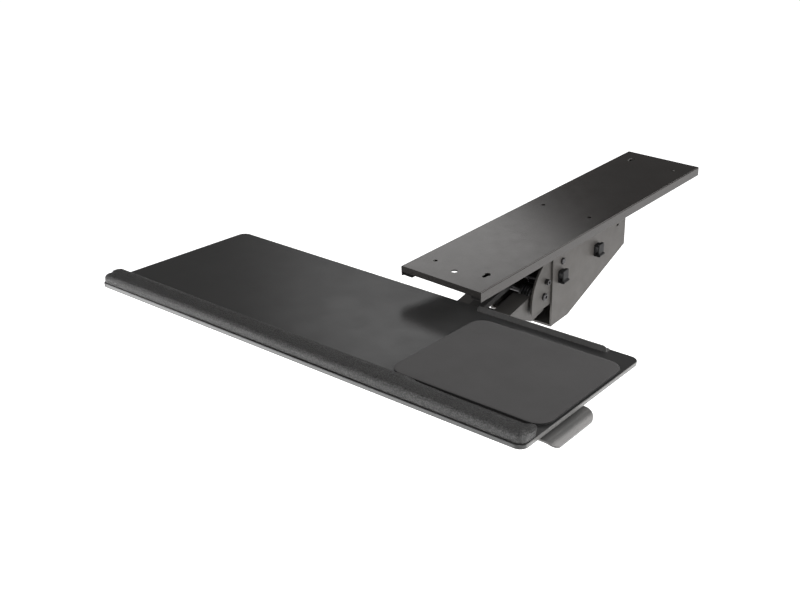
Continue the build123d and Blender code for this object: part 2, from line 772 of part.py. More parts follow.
# Head bracket: two side plates joined by a web in front of the arm's nose
with BuildPart() as head_bracket:
    with BuildSketch(Plane.YZ.offset(-head_outer)):
        with Locations(head_axis):
            Circle(head_foot_radius)
        with Locations(head_link_axis):
            Circle(head_lug_radius)
        with Locations(tilt_axis):
            Circle(head_nose_radius)
        make_hull()
        with Locations((head_axis[0] - head_web_front, head_axis[1] - head_foot_radius)):
            Rectangle(head_web_front, head_web_height, align=(Align.MIN, Align.MIN))
    extrude(amount=2 * head_outer)
    with BuildSketch(Plane.YZ.offset(-head_inner)):
        with Locations(
            (head_axis[0] - head_web_front + head_sheet, head_axis[1] - head_foot_radius - overrun)
        ):
            Rectangle(
                head_web_front + head_foot_radius + overrun,
                2 * head_foot_radius + tilt_axis_rise + 2 * overrun,
                align=(Align.MIN, Align.MIN),
            )
        with Locations(
            (head_axis[0] - head_web_front - overrun, head_axis[1] - head_foot_radius + head_web_height)
        ):
            Rectangle(
                head_web_front + head_foot_radius + overrun,
                tilt_axis_rise + head_foot_radius + overrun,
                align=(Align.MIN, Align.MIN),
            )
    extrude(amount=2 * head_inner, mode=Mode.SUBTRACT)
    with BuildSketch(Plane.YZ.offset(-head_outer - overrun)):
        with Locations(head_axis):
            Circle(shaft_radius)
        with Locations(head_link_axis):
            Circle(link_shaft_radius)
        with Locations(tilt_axis):
            Circle(tilt_bolt_radius)
    extrude(amount=2 * (head_outer + overrun), mode=Mode.SUBTRACT)
head_bracket.part = head_bracket.part.moved(turned)
head_bracket.part.label = "head_bracket"
export_step(head_bracket.part, "parts/head_bracket.step")

# Head shaft: fixed in the head's plates, the arm's nose turns on it
with BuildPart() as head_shaft:
    with BuildSketch(across(-head_outer - nut_height - shaft_proud, head_axis)):
        Circle(shaft_radius)
    extrude(amount=2 * head_outer + nut_height + shaft_proud)
    with BuildSketch(across(head_outer, head_axis)):
        Circle(lower_head_radius)
    extrude(amount=lower_head_height)
    fillet(head_shaft.faces().sort_by(Axis.X)[-1].edges(), lower_head_round)
    with BuildSketch(across(head_outer + lower_head_height, head_axis)):
        RegularPolygon(socket_flats / 2, 6, major_radius=False)
    extrude(amount=-socket_depth, mode=Mode.SUBTRACT)
head_shaft.part = head_shaft.part.moved(turned)
head_shaft.part.label = "head_shaft"
export_step(head_shaft.part, "parts/head_shaft.step")

with BuildPart() as head_shaft_nut:
    with BuildSketch(across(-head_outer - nut_height, head_axis)):
        RegularPolygon(nut_flats / 2, 6, major_radius=False)
        Circle(shaft_radius, mode=Mode.SUBTRACT)
    extrude(amount=nut_height)
head_shaft_nut.part = head_shaft_nut.part.moved(turned)
head_shaft_nut.part.label = "head_shaft_nut"
export_step(head_shaft_nut.part, "parts/head_shaft_nut.step")

# Head link pin: riveted over at both ends, the link's front eye is loose on it
with BuildPart() as head_link_pin:
    with BuildSketch(across(-head_outer, head_link_axis)):
        Circle(link_shaft_radius)
    extrude(amount=2 * head_outer)
    for pin_end in (-head_outer - pin_head_height, head_outer):
        with BuildSketch(across(pin_end, head_link_axis)):
            Circle(pin_head_radius)
        extrude(amount=pin_head_height)
head_link_pin.part = head_link_pin.part.moved(turned)
head_link_pin.part.label = "head_link_pin"
export_step(head_link_pin.part, "parts/head_link_pin.step")

# Tilt bolts: short, one each side, so that the link has room between them
for bolt_label, side in (("left_tilt_bolt", -1), ("right_tilt_bolt", 1)):
    with BuildPart() as tilt_bolt:
        with BuildSketch(across(side * head_inner, tilt_axis)):
            Circle(tilt_bolt_radius)
        extrude(amount=side * (ear_outer + ear_side_gap - head_inner))
        with BuildSketch(across(side * (ear_outer + ear_side_gap), tilt_axis)):
            Circle(tilt_head_radius)
        extrude(amount=side * tilt_head_height)
        fillet(tilt_bolt.faces().sort_by(Axis.X)[-1 if side > 0 else 0].edges(), tilt_head_round)
    tilt_bolt.part = tilt_bolt.part.moved(turned)
    tilt_bolt.part.label = bolt_label
    export_step(tilt_bolt.part, f"parts/{bolt_label}.step")

# The tray's own frame has X across it, Y back from its back edge and Z up from its top face
ear_place = (-tilt_axis_inset, -tilt_axis_drop)
bracket_high = -tray_thickness
bracket_low = bracket_high - bracket_sheet
bracket_middle = -bracket_back - bracket_depth / 2
bracket_width = 2 * (ear_outer + bracket_side_margin)
bracket_screw_span = (bracket_width - 2 * bracket_screw_inset, bracket_depth - 2 * bracket_screw_inset)

# Tray bracket: plate under the board with two ears that the tilt bolts pass through
with BuildPart() as tray_bracket:
    with BuildSketch(Plane.XY.offset(bracket_low)):
        with Locations((tray_offset_x, bracket_middle)):
            RectangleRounded(bracket_width, bracket_depth, bracket_corner)
            with GridLocations(bracket_screw_span[0], bracket_screw_span[1], 2, 2):
                Circle(bracket_screw_radius, mode=Mode.SUBTRACT)
    extrude(amount=bracket_sheet)
    for ear_start in (-ear_outer, ear_inner):
        with BuildSketch(Plane.YZ.offset(tray_offset_x + ear_start)):
            with Locations(ear_place):
                Circle(ear_radius)
                Rectangle(2 * ear_radius, bracket_low - ear_place[1], align=(Align.CENTER, Align.MIN))
                Circle(tilt_bolt_radius + running_gap, mode=Mode.SUBTRACT)
        extrude(amount=ear_sheet)
tray_bracket.part = tray_bracket.part.moved(trayed)
tray_bracket.part.label = "tray_bracket"
export_step(tray_bracket.part, "parts/tray_bracket.step")

# Bracket screws: up through the bracket into the board
with BuildPart() as bracket_screws:
    with BuildSketch(Plane.XY.offset(bracket_low - bracket_screw_head_height)):
        with Locations((tray_offset_x, bracket_middle)):
            with GridLocations(bracket_screw_span[0], bracket_screw_span[1], 2, 2):
                Circle(bracket_screw_head_radius)
    extrude(amount=bracket_screw_head_height)
    fillet(bracket_screws.edges().group_by(Axis.Z)[0], bracket_screw_round)
    with BuildSketch(Plane.XY.offset(bracket_low)):
        with Locations((tray_offset_x, bracket_middle)):
            with GridLocations(bracket_screw_span[0], bracket_screw_span[1], 2, 2):
                Circle(bracket_screw_radius)
    extrude(amount=bracket_sheet + bracket_screw_bite)
bracket_screws.part = bracket_screws.part.moved(trayed)
bracket_screws.part.label = "bracket_screws"
export_step(bracket_screws.part, "parts/bracket_screws.step")

# Tray board: thin phenolic panel with rounded corners
with BuildPart() as tray_board:
    with BuildSketch(Plane.XY.offset(-tray_thickness)) as board_outline:
        with Locations((0, -tray_depth / 2)):
            Rectangle(tray_width, tray_depth)
        fillet(board_outline.vertices().group_by(Axis.Y)[0], tray_front_corner)
        fillet(board_outline.vertices().group_by(Axis.Y)[-1], tray_back_corner)
    extrude(amount=tray_thickness)
    chamfer(tray_board.faces().sort_by(Axis.Z)[-1].edges(), tray_edge_bevel)
    with BuildSketch(Plane.XY.offset(-tray_thickness)):
        with Locations((tray_offset_x, bracket_middle)):
            with GridLocations(bracket_screw_span[0], bracket_screw_span[1], 2, 2):
                Circle(bracket_screw_radius)
    extrude(amount=bracket_screw_bite, mode=Mode.SUBTRACT)
tray_board.part = tray_board.part.moved(trayed)
tray_board.part.label = "tray_board"
export_step(tray_board.part, "parts/tray_board.step")

# Wrist rest: padded strip with steep walls, a rounded rim and a low crown, its ends rounded in plan
rest_front = -tray_depth + rest_front_inset
rest_back = rest_front + rest_depth
rest_length = tray_width - 2 * rest_side_inset
rim_round_middle = (rest_rim_depth * (1 - quarter_share), quarter_share)
with BuildPart() as wrist_rest:
    with BuildSketch(Plane.YZ.offset(-rest_length / 2)):
        with BuildLine():
            Line((rest_front, 0), (rest_front, rest_lip_height))
            ThreePointArc(
                (rest_front, rest_lip_height),
                (
                    rest_front + rim_round_middle[0],
                    rest_lip_height + (rest_rim_height - rest_lip_height) * rim_round_middle[1],
                ),
                (rest_front + rest_rim_depth, rest_rim_height),
            )
            ThreePointArc(
                (rest_front + rest_rim_depth, rest_rim_height),
                ((rest_front + rest_back) / 2, rest_height),
                (rest_back - rest_rim_depth, rest_rim_height),
            )
            ThreePointArc(
                (rest_back - rest_rim_depth, rest_rim_height),
                (
                    rest_back - rim_round_middle[0],
                    rest_back_height + (rest_rim_height - rest_back_height) * rim_round_middle[1],
                ),
                (rest_back, rest_back_height),
            )
            Polyline((rest_back, rest_back_height), (rest_back, 0), (rest_front, 0))
        make_face()
    extrude(amount=rest_length)
    with BuildSketch(Plane.XY.offset(-overrun)) as rest_outline:
        with Locations((0, (rest_front + rest_back) / 2)):
            Rectangle(rest_length, rest_depth)
        fillet(rest_outline.vertices().group_by(Axis.Y)[0], rest_front_corner)
        fillet(rest_outline.vertices().group_by(Axis.Y)[-1], rest_back_corner)
    extrude(amount=rest_height + 2 * overrun, mode=Mode.INTERSECT)
wrist_rest.part = wrist_rest.part.moved(trayed)
wrist_rest.part.label = "wrist_rest"
export_step(wrist_rest.part, "parts/wrist_rest.step")

# Mouse pad: lies on the right of the board, behind the wrist rest
pad_x = tray_width / 2 - pad_right_inset - pad_width / 2
with BuildPart() as mouse_pad:
    with BuildSketch():
        with Locations((pad_x, -pad_back_inset - pad_depth / 2)):
            RectangleRounded(pad_width, pad_depth, pad_corner)
    extrude(amount=pad_thickness)
mouse_pad.part = mouse_pad.part.moved(trayed)
mouse_pad.part.label = "mouse_pad"
export_step(mouse_pad.part, "parts/mouse_pad.step")

# Guard along the back edge, an upright strip on a foot
guard_x = tray_width / 2 - guard_right - guard_length / 2
with BuildPart() as mouse_guard:
    with BuildSketch():
        with Locations((guard_x, -guard_back)):
            Rectangle(guard_length, guard_foot, align=(Align.CENTER, Align.MIN))
    extrude(amount=guard_sheet)
    with BuildSketch(Plane.XZ.offset(guard_back)) as guard_face:
        with Locations((guard_x, 0)):
            Rectangle(guard_length, guard_height, align=(Align.CENTER, Align.MIN))
        fillet(guard_face.vertices().group_by(Axis.Y)[-1], guard_corner)
    extrude(amount=guard_sheet)
mouse_guard.part = mouse_guard.part.moved(trayed)
mouse_guard.part.label = "mouse_guard"
export_step(mouse_guard.part, "parts/mouse_guard.step")

# Release paddle under the right edge: base with two ears, a pin and the paddle
paddle_front = -tray_depth + paddle_front_inset
pin_x = tray_width / 2 - paddle_pin_inset
pin_z = -tray_thickness - paddle_pin_drop
ear_inner_front = paddle_front + paddle_ear_sheet
knuckle_length = paddle_length - 2 * paddle_ear_sheet - 2 * paddle_ear_gap
with BuildPart() as paddle_base:
    with BuildSketch(Plane.XY.offset(-tray_thickness)):
        with Locations((pin_x, paddle_front)):
            Rectangle(paddle_base_width, paddle_length, align=(Align.CENTER, Align.MIN))
    extrude(amount=-paddle_base_sheet)
    for ear_front in (paddle_front, paddle_front + paddle_length - paddle_ear_sheet):
        with BuildSketch(section(ear_front)):
            with Locations((pin_x, pin_z)):
                Circle(paddle_ear_radius)
                Rectangle(2 * paddle_ear_radius, paddle_pin_drop, align=(Align.CENTER, Align.MIN))
                Circle(paddle_pin_radius, mode=Mode.SUBTRACT)
        extrude(amount=-paddle_ear_sheet)
paddle_base.part = paddle_base.part.moved(trayed)
paddle_base.part.label = "paddle_base"
export_step(paddle_base.part, "parts/paddle_base.step")

with BuildPart() as paddle_pin:
    with BuildSketch(section(paddle_front)):
        with Locations((pin_x, pin_z)):
            Circle(paddle_pin_radius)
    extrude(amount=-paddle_length)
paddle_pin.part = paddle_pin.part.moved(trayed)
paddle_pin.part.label = "paddle_pin"
export_step(paddle_pin.part, "parts/paddle_pin.step")

paddle_tip_x = tray_width / 2 + paddle_overhang
with BuildPart() as release_paddle:
    with BuildSketch(section(ear_inner_front + paddle_ear_gap)):
        with BuildLine():
            Line((pin_x, pin_z + paddle_sheet), (paddle_tip_x - paddle_tip_length, pin_z + paddle_sheet))
            TangentArc(
                (paddle_tip_x - paddle_tip_length, pin_z + paddle_sheet),
                (paddle_tip_x, pin_z + paddle_sheet - paddle_tip_drop),
                tangent=(1, 0),
            )
            Line(
                (paddle_tip_x, pin_z + paddle_sheet - paddle_tip_drop),
                (paddle_tip_x, pin_z - paddle_tip_drop),
            )
            TangentArc(
                (paddle_tip_x - paddle_tip_length, pin_z),
                (paddle_tip_x, pin_z - paddle_tip_drop),
                tangent=(1, 0),
            )
            Line((paddle_tip_x - paddle_tip_length, pin_z), (pin_x, pin_z))
            Line((pin_x, pin_z), (pin_x, pin_z + paddle_sheet))
        make_face()
    extrude(amount=-knuckle_length)
    # Round the two outer corners as seen from above
    with BuildSketch(Plane.XY.offset(pin_z - paddle_tip_drop - overrun)) as paddle_outline:
        with Locations((pin_x, ear_inner_front + paddle_ear_gap)):
            Rectangle(paddle_tip_x - pin_x, knuckle_length, align=(Align.MIN, Align.MIN))
        fillet(paddle_outline.vertices().group_by(Axis.X)[-1].sort_by(Axis.Y)[0], paddle_corner)
        fillet(paddle_outline.vertices().group_by(Axis.X)[-1].sort_by(Axis.Y)[-1], paddle_back_corner)
    extrude(amount=paddle_tip_drop + paddle_sheet + 2 * overrun, mode=Mode.INTERSECT)
    with BuildSketch(section(ear_inner_front + paddle_ear_gap)):
        with Locations((pin_x, pin_z)):
            Circle(paddle_knuckle_radius)
    extrude(amount=-knuckle_length)
    with BuildSketch(section(ear_inner_front)):
        with Locations((pin_x, pin_z)):
            Circle(paddle_pin_radius + running_gap)
    extrude(amount=-paddle_length, mode=Mode.SUBTRACT)
release_paddle.part = release_paddle.part.moved(trayed)
release_paddle.part.label = "release_paddle"
export_step(release_paddle.part, "parts/release_paddle.step")

# Conduit under the board, from the paddle's base round to the tray bracket's front edge
conduit_start = pin_x - paddle_base_width / 2
conduit_front = paddle_front + paddle_length / 2
conduit_end_x = tray_offset_x + bracket_width / 2 - conduit_bracket_inset
conduit_back = -bracket_back - bracket_depth
conduit_level = -tray_thickness - conduit_radius
with BuildPart() as release_conduit:
    with BuildLine() as conduit_path:
        Line(
            (conduit_start, conduit_front, conduit_level),
            (conduit_end_x + conduit_bend_radius, conduit_front, conduit_level),
        )
        ThreePointArc(
            (conduit_end_x + conduit_bend_radius, conduit_front, conduit_level),
            (
                conduit_end_x + conduit_bend_radius * (1 - quarter_share),
                conduit_front + conduit_bend_radius * (1 - quarter_share),
                conduit_level,
            ),
            (conduit_end_x, conduit_front + conduit_bend_radius, conduit_level),
        )
        Line(
            (conduit_end_x, conduit_front + conduit_bend_radius, conduit_level),
            (conduit_end_x, conduit_back, conduit_level),
        )
    with BuildSketch(Plane((conduit_start, conduit_front, conduit_level), z_dir=(-1, 0, 0))):
        Circle(conduit_radius)
    sweep(path=conduit_path.wires()[0])
release_conduit.part = release_conduit.part.moved(trayed)
release_conduit.part.label = "release_conduit"
export_step(release_conduit.part, "parts/release_conduit.step")

# Cable clips on the right fin: a channel open at both ends, closed by a hinged latch
clip_axis = (
    clip_base_thickness + clip_arm_reach + clip_knuckle_radius,
    -clip_base_height / 2 + clip_knuckle_radius,
)
clip_third = clip_base_width / 3
latch_start = clip_axis[0] - clip_knuckle_radius + clip_knuckle_gap
latch_top = clip_base_height / 2 + clip_knuckle_gap + clip_latch_sheet
for clip_name, clip_back, clip_drop in (
    ("front_clip", front_clip_back, front_clip_depth),
    ("rear_clip", rear_clip_back, rear_clip_depth),
):
    clipped = turned * Location((half_housing, clip_back - housing_front, housing_top - clip_drop))
    with BuildPart() as clip_base:
        with BuildSketch(Plane.XZ.offset(-clip_base_width / 2)):
            Rectangle(clip_base_thickness, clip_base_height, align=(Align.MIN, Align.CENTER))
            for arm_z, arm_align in ((clip_base_height / 2, Align.MAX), (-clip_base_height / 2, Align.MIN)):
                with Locations((clip_base_thickness, arm_z)):
                    Rectangle(clip_arm_reach, clip_arm_sheet, align=(Align.MIN, arm_align))
        extrude(amount=clip_base_width)
        # Outer knuckles with the pin moulded in one with them
        with BuildSketch(Plane.XZ.offset(-clip_base_width / 2)):
            with Locations(clip_axis):
                Circle(clip_knuckle_radius)
            with Locations((clip_axis[0], -clip_base_height / 2)):
                Rectangle(2 * clip_knuckle_radius, clip_arm_sheet, align=(Align.MAX, Align.MIN))
        extrude(amount=clip_base_width)
        with BuildSketch(Plane.XZ.offset(-clip_third / 2 - clip_knuckle_gap)):
            with Locations(clip_axis):
                Rectangle(2 * (clip_knuckle_radius + clip_knuckle_gap), 4 * clip_knuckle_radius)
        extrude(amount=clip_third + 2 * clip_knuckle_gap, mode=Mode.SUBTRACT)
        with BuildSketch(Plane.XZ.offset(-clip_base_width / 2)):
            with Locations(clip_axis):
                Circle(clip_pin_radius)
        extrude(amount=clip_base_width)
    clip_base.part = clip_base.part.moved(clipped)
    clip_base.part.label = f"{clip_name}_base"
    export_step(clip_base.part, f"parts/{clip_name}_base.step")

    with BuildPart() as clip_latch:
        with BuildSketch(Plane.XZ.offset(-clip_third / 2)):
            with Locations(clip_axis):
                Circle(clip_knuckle_radius)
            with Locations((latch_start, clip_axis[1])):
                Rectangle(clip_latch_sheet, 2 * clip_knuckle_radius, align=(Align.MIN, Align.MIN))
        extrude(amount=clip_third)
        with BuildSketch(Plane.XZ.offset(-clip_base_width / 2)):
            with Locations((latch_start, clip_axis[1] + clip_knuckle_radius + clip_knuckle_gap)):
                Rectangle(
                    clip_latch_sheet,
                    latch_top - clip_axis[1] - clip_knuckle_radius - clip_knuckle_gap,
                    align=(Align.MIN, Align.MIN),
                )
            with Locations((latch_start, latch_top)):
                Rectangle(clip_latch_lip, clip_latch_sheet, align=(Align.MAX, Align.MAX))
        extrude(amount=clip_base_width)
        with BuildSketch(Plane.XZ.offset(-clip_base_width / 2)):
            with Locations(clip_axis):
                Circle(clip_pin_radius + running_gap)
        extrude(amount=clip_base_width, mode=Mode.SUBTRACT)
    clip_latch.part = clip_latch.part.moved(clipped)
    clip_latch.part.label = f"{clip_name}_latch"
    export_step(clip_latch.part, f"parts/{clip_name}_latch.step")
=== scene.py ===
# %% [markdown]
# A keyboard tray that hangs under a desk. The metal, the board and everything that moves
# come packed from the drawing program as a fixed frame, in metres. This lesson dresses
# that frame: it gives each surface its finish, and it models the two soft pieces, the
# wrist rest and the mouse pad, by hand. Then it sets up the studio and the camera.

# %% Load the frame
import json
import math

import bmesh
import bpy
from mathutils import Matrix, Vector


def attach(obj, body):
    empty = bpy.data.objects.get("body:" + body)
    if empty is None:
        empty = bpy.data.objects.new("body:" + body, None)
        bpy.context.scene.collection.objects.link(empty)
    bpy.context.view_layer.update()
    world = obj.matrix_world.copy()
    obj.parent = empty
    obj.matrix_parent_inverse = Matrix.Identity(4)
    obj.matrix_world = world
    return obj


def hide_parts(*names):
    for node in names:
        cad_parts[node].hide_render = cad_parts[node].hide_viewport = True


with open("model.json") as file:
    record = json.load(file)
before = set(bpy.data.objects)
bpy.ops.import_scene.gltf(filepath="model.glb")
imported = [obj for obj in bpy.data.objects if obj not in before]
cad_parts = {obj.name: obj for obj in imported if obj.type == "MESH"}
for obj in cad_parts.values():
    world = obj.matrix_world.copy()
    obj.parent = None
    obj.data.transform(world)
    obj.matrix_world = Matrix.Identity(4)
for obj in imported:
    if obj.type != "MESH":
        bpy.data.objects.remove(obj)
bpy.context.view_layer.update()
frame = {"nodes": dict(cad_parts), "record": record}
nodes = frame["nodes"]

# %% [markdown]
# The real tray is tilted a little and turned a little to the left of its track. It is
# easier to model its soft pieces square, in millimetres on the board's own top face, and
# to carry the finished mesh to its place with one matrix. X runs across the board, Y runs
# back and is zero at the back edge, and Z is zero at the top face.

# %% The board's own frame
MM = 0.001
SWIVEL_Y, SWIVEL_TURN = 240, 2.6
TILT_Y, TILT_Z, TILT_TURN = -234.254, -60.018, -4.15
TRAY_OFFSET, TILT_INSET, TILT_DROP = 71.6, 25.0, 18.68

board_frame = (
    Matrix.Scale(MM, 4)
    @ Matrix.Translation((0, SWIVEL_Y, 0))
    @ Matrix.Rotation(math.radians(SWIVEL_TURN), 4, "Z")
    @ Matrix.Translation((-TRAY_OFFSET, TILT_Y, TILT_Z))
    @ Matrix.Rotation(math.radians(TILT_TURN), 4, "X")
    @ Matrix.Translation((0, TILT_INSET, TILT_DROP))
)
print("middle of the back edge", [round(v, 4) for v in board_frame @ Vector((0, 0, 0))])

# %% [markdown]
# Every operator works on what is selected, and the loaded frame arrives selected. So
# each piece starts by deselecting everything. When a piece is done, its mesh is moved to
# the board's frame and its own object stays at the origin, so that patterns and motion
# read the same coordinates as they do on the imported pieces.


# %% Small helpers for modelling by hand
def start_clean():
    """Leave edit mode and select nothing."""
    if bpy.context.object and bpy.context.object.mode != "OBJECT":
        bpy.ops.object.mode_set(mode="OBJECT")
    bpy.ops.object.select_all(action="DESELECT")


def name_new_piece(name):
    """Name the primitive that was just added."""
    piece = bpy.context.object
    piece.name = name
    piece.data.name = name
    return piece


def set_on_board(piece):
    """Carry a finished mesh from the board's frame to its place on the tray."""
    piece.data.transform(board_frame)
    piece.data.update()


def apply_modifiers(piece):
    """Apply every modifier, from the first to the last."""
    start_clean()
    piece.select_set(True)
    bpy.context.view_layer.objects.active = piece
    for modifier in list(piece.modifiers):
        bpy.ops.object.modifier_apply(modifier=modifier.name)


def smooth(piece, degrees=40):
    """Shade a piece smooth, but keep edges sharper than the given angle."""
    start_clean()
    piece.select_set(True)
    bpy.context.view_layer.objects.active = piece
    bpy.ops.object.shade_smooth_by_angle(angle=math.radians(degrees))


print("helpers ready")

# %% [markdown]
# The wrist rest is a long foam strip in a pebbled skin. It has steep walls, a rounded rim
# and a low crown, and its ends are round as seen from above. It could be sculpted, but it
# is quicker to draw its outline once on the board: a plane whose four corners are bevelled,
# then extruded up, and inset and raised four times for the rim and the crown. It starts a
# little below the board's face, and what lies below is later pressed flat onto the board.

# %% Wrist rest: the outline, slightly inside the real one
REST_FRONT, REST_BACK, REST_HALF = -259.4, -229.4, 336.7
REST_FRONT_CORNER, REST_BACK_CORNER = 9.6, 4.8
REST_WALL, REST_HEIGHT = 8.2, 12.6
REST_STEPS = ((1.5, 0.9), (0.8, 2.0), (0.8, 4.4), (0.3, 4.6))  # how far up, how far in
NEAR_EDGE = 10
SWELL_ROOM = 0.5
FOOT_BELOW = 2.3


def place_plane(name, low, high, level):
    """A flat plane between two corners, as a new piece in edit mode."""
    start_clean()
    bpy.ops.mesh.primitive_plane_add(size=1)
    piece = name_new_piece(name)
    bpy.ops.object.mode_set(mode="EDIT")
    bpy.ops.mesh.select_all(action="SELECT")
    bpy.ops.transform.resize(value=(high[0] - low[0], high[1] - low[1], 1))
    middle = ((low[0] + high[0]) / 2, (low[1] + high[1]) / 2, level)
    bpy.ops.transform.translate(value=middle)
    return piece


def round_corners(piece, radius, steps, wanted):
    """Bevel the outline's corners that the test picks, with the piece in edit mode."""
    bpy.ops.mesh.select_mode(type="VERT")
    bpy.ops.mesh.select_all(action="DESELECT")
    shape = bmesh.from_edit_mesh(piece.data)
    for vertex in shape.verts:
        vertex.select = wanted(vertex.co)
    bmesh.update_edit_mesh(piece.data)
    bpy.ops.mesh.bevel(offset=radius, segments=steps, affect="VERTICES")


def raise_top(height, inward=0.0):
    """Inset the selected top face, or extrude it, and lift it."""
    if inward:
        bpy.ops.mesh.inset(thickness=inward)
        bpy.ops.transform.translate(value=(0, 0, height))
    else:
        bpy.ops.mesh.extrude_region_move(TRANSFORM_OT_translate={"value": (0, 0, height)})


low = (-REST_HALF + SWELL_ROOM, REST_FRONT + SWELL_ROOM)
high = (REST_HALF - SWELL_ROOM, REST_BACK - SWELL_ROOM)
wrist_rest = place_plane("wrist_rest_skin", low, high, -FOOT_BELOW)
round_corners(wrist_rest, REST_FRONT_CORNER, 8, lambda co: co.y < REST_FRONT + NEAR_EDGE)
round_corners(wrist_rest, REST_BACK_CORNER, 6, lambda co: co.y > REST_BACK - NEAR_EDGE)
bpy.ops.mesh.select_all(action="SELECT")
raise_top(REST_WALL + FOOT_BELOW)
for height, inward in REST_STEPS:
    raise_top(height, inward)
bpy.ops.mesh.select_all(action="SELECT")
bpy.ops.mesh.normals_make_consistent(inside=False)
bpy.ops.object.mode_set(mode="OBJECT")
rest_top = max(vertex.co.z for vertex in wrist_rest.data.vertices)
print("rest outline faces", len(wrist_rest.data.polygons), "height", round(rest_top, 2))

# %% [markdown]
# Foam under a skin bulges a little between its edges. A cloth simulation gives that
# without guessing: an even skin of small faces is blown up from inside, its foot stays
# glued to the board, and no point may travel more than a millimetre. The strip is
# simulated in metres, because the solver's forces are meant for real sizes.

# %% Wrist rest: an even skin, blown up a little
SKIN_FACE, GLUED_BELOW, TRAVEL = 0.0026, 0.001, 0.0009
CLOTH_STEPS = 20
wrist_rest.data.transform(Matrix.Scale(MM, 4))
skin = wrist_rest.modifiers.new("even_skin", "REMESH")
skin.mode = "VOXEL"
skin.voxel_size = SKIN_FACE
apply_modifiers(wrist_rest)
before = [v.co.copy() for v in wrist_rest.data.vertices]
glue = wrist_rest.vertex_groups.new(name="glue")
foot = [v.index for v in wrist_rest.data.vertices if v.co.z < GLUED_BELOW]
glue.add(foot, 1.0, "REPLACE")
blow = wrist_rest.modifiers.new("blow", "CLOTH")
blow.settings.quality = 4
blow.settings.mass = 0.3
blow.settings.use_pressure = True
blow.settings.uniform_pressure_force = 4.0
blow.settings.effector_weights.gravity = 0
blow.settings.vertex_group_mass = "glue"
for step in range(1, CLOTH_STEPS + 1):
    bpy.context.scene.frame_set(step)
apply_modifiers(wrist_rest)
bpy.context.scene.frame_set(1)
travelled = 0
for vertex, start in zip(wrist_rest.data.vertices, before):
    way = vertex.co - start
    if way.length > TRAVEL:
        vertex.co = start + way.normalized() * TRAVEL
        travelled += 1
print("skin points", len(before), "held back", travelled)

# %% Wrist rest: smooth the skin once and set it on the board
REST_CLEAR = 0.02
once = wrist_rest.modifiers.new("once", "SUBSURF")
once.levels = once.render_levels = 1
apply_modifiers(wrist_rest)
wrist_rest.data.transform(Matrix.Scale(1 / MM, 4))
for vertex in wrist_rest.data.vertices:
    vertex.co.z = min(max(vertex.co.z, REST_CLEAR), REST_HEIGHT)
set_on_board(wrist_rest)
smooth(wrist_rest, 60)
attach(wrist_rest, "tray")
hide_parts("wrist_rest")
print("rest vertices", len(wrist_rest.data.vertices))

# %% [markdown]
# The mouse pad is a sheet of foam rubber with a fine cloth face. It lies flat, its corners
# are round and its upper edge is softly rounded where the cloth meets the rubber. A plane
# with bevelled corners, extruded and then bevelled along its top edge, gives just that.

# %% Mouse pad
PAD_LEFT, PAD_RIGHT, PAD_FRONT, PAD_BACK = 122.4, 334.4, -216.8, -32.4
PAD_CORNER, PAD_THICKNESS, PAD_CLEAR, PAD_MARGIN = 20.0, 2.95, 0.03, 4.0
low, high = (PAD_LEFT, PAD_FRONT), (PAD_RIGHT, PAD_BACK)
mouse_pad = place_plane("mouse_pad_sheet", low, high, PAD_CLEAR)
round_corners(mouse_pad, PAD_CORNER, 14, lambda co: True)
bpy.ops.mesh.select_all(action="SELECT")
raise_top(PAD_THICKNESS)
bpy.ops.mesh.inset(thickness=PAD_MARGIN)
bpy.ops.mesh.select_all(action="SELECT")
bpy.ops.mesh.normals_make_consistent(inside=False)
bpy.ops.object.mode_set(mode="OBJECT")
print("pad faces", len(mouse_pad.data.polygons))

# %% Mouse pad: soften its upper edge
pad_edge = mouse_pad.modifiers.new("pad_edge", "BEVEL")
pad_edge.width = 0.8
pad_edge.segments = 3
pad_edge.limit_method = "ANGLE"
pad_edge.angle_limit = math.radians(60)
apply_modifiers(mouse_pad)
set_on_board(mouse_pad)
smooth(mouse_pad, 40)
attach(mouse_pad, "tray")
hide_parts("mouse_pad")
print("pad vertices", len(mouse_pad.data.vertices))

# %% [markdown]
# Finishes. Every one is built from nodes that read the object coordinates, so a pattern
# has its real size in metres. A helper makes the material and its shader, and small
# helpers add a noise, a colour ramp and a bump to it, or put two values or two colours
# together. What differs from finish to finish is the size and strength of each pattern.


# %% Helpers for finishes
def new_finish(name, roughness, metallic=0.0, specular=0.5):
    """A material with its shader, and the coordinates that patterns read."""
    finish = bpy.data.materials.new(name)
    finish.use_nodes = True
    tree = finish.node_tree
    shader = tree.nodes["Principled BSDF"]
    shader.inputs["Roughness"].default_value = roughness
    shader.inputs["Metallic"].default_value = metallic
    shader.inputs["Specular IOR Level"].default_value = specular
    coordinates = tree.nodes.new("ShaderNodeTexCoord")
    return finish, tree, shader, coordinates.outputs["Object"]


def add_noise(tree, coordinates, size, detail=4.0, stretch=(1, 1, 1)):
    """A noise whose grains are about size metres across."""
    mapping = tree.nodes.new("ShaderNodeMapping")
    mapping.inputs["Scale"].default_value = stretch
    tree.links.new(coordinates, mapping.inputs["Vector"])
    noise = tree.nodes.new("ShaderNodeTexNoise")
    noise.inputs["Scale"].default_value = 1 / size
    noise.inputs["Detail"].default_value = detail
    tree.links.new(mapping.outputs["Vector"], noise.inputs["Vector"])
    return noise.outputs["Fac"]


def add_cells(tree, coordinates, size, feature="F1"):
    """Cells about size metres across, as in a pebbled skin."""
    cells = tree.nodes.new("ShaderNodeTexVoronoi")
    cells.feature = feature
    cells.inputs["Scale"].default_value = 1 / size
    tree.links.new(coordinates, cells.inputs["Vector"])
    return cells.outputs["Distance"]


